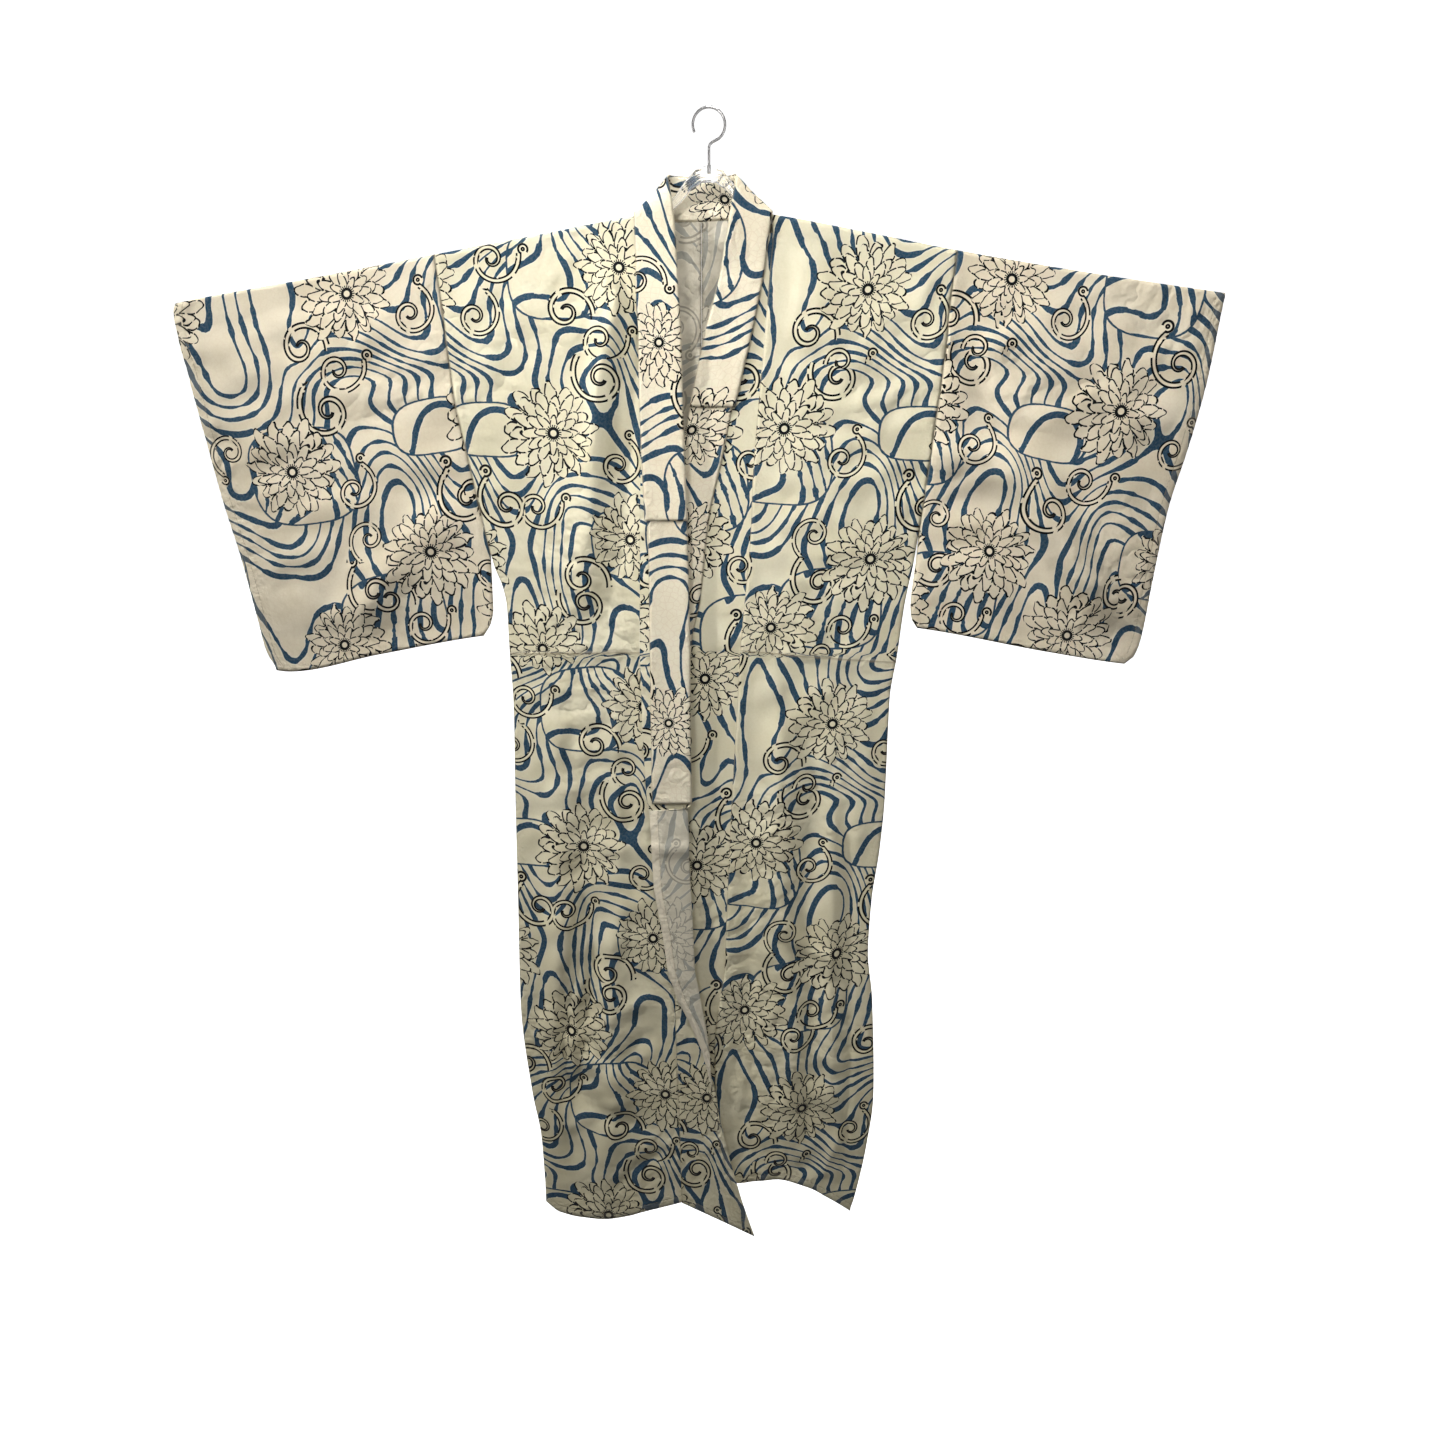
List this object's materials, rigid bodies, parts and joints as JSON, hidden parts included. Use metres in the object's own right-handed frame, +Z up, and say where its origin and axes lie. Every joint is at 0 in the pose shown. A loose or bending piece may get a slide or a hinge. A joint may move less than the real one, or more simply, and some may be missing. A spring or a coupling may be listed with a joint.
{
  "type": "cotton yukata robe on a clear hanger",
  "caption": "Full-length cotton yukata with wide sleeves and a long doubled collar, printed with flowers and wood-grain lines, hung flat on a clear hanger with a wire hook.",
  "frame": {"origin": "inner crown of the hanger's hook, where the rod or peg carries it", "axes": "+Z up along the hook's stem, the garment's front faces -Y, +X is to the right as seen from the front"},
  "size_m": [1.3206, 0.0441, 1.5522],
  "materials": {
    "yukata_cotton": "plain-woven cotton, cream with slate-blue wood-grain lines and black-outlined chrysanthemums",
    "collar_cotton": "the same print, doubled and a little warmer",
    "clear_hanger": "clear moulded plastic",
    "hook_wire": "plated steel wire"
  },
  "bodies": {
    "root": {"body_left": "yukata_cotton", "body_right": "yukata_cotton", "okumi_left": "yukata_cotton", "okumi_right": "yukata_cotton", "sleeve_left": "yukata_cotton", "sleeve_right": "yukata_cotton", "collar": "collar_cotton", "collar_overlay": "collar_cotton", "hanger": "clear_hanger", "hook": "hook_wire"}
  },
  "joints": []
}
